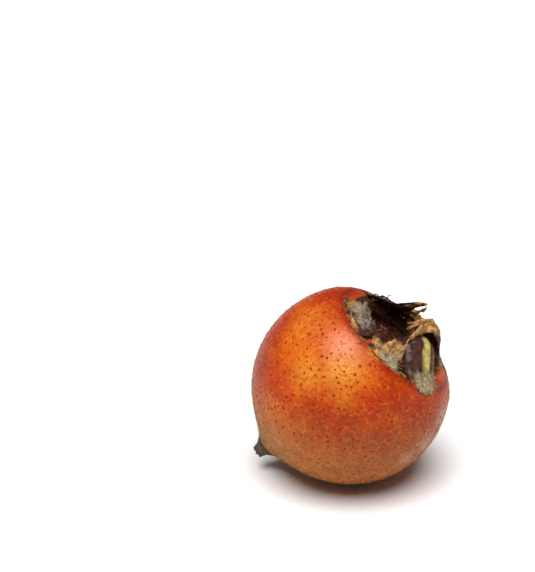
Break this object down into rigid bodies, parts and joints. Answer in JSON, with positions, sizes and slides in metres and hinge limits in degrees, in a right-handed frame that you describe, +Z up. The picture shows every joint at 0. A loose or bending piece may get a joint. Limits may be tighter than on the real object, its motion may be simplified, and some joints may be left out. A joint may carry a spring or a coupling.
{
  "type": "medlar fruit",
  "caption": "Ripe round fruit as picked, lying on its side, with a deep open eye ringed by dried leaning sepals and a short stub of stalk opposite.",
  "frame": {"origin": "centre of the small flat spot under the fruit, on which it rests", "axes": "+Z up from the surface that it rests on; the open eye faces up and towards +X, the stalk points down and towards -X"},
  "size_m": [0.0401, 0.04, 0.0396],
  "materials": {
    "ripe_skin": "ripe fruit skin, orange and deep red with russet below, softly glossy, dotted with brown lenticels",
    "stalk_bark": "rough grey-brown bark",
    "dry_sepal": "dry brown sepal with pale woolly hair at its foot",
    "dry_thread": "dark, dry and brittle"
  },
  "bodies": {
    "root": {"fruit_body": "ripe_skin", "stalk_stub": "stalk_bark", "sepal_folded": "dry_sepal", "sepal_front_stump": "dry_sepal", "sepal_back_stump": "dry_sepal", "sepal_curled": "dry_sepal", "sepal_leaning": "dry_sepal", "dried_stamens": "dry_thread", "style_stubs": "dry_thread"}
  },
  "joints": []
}
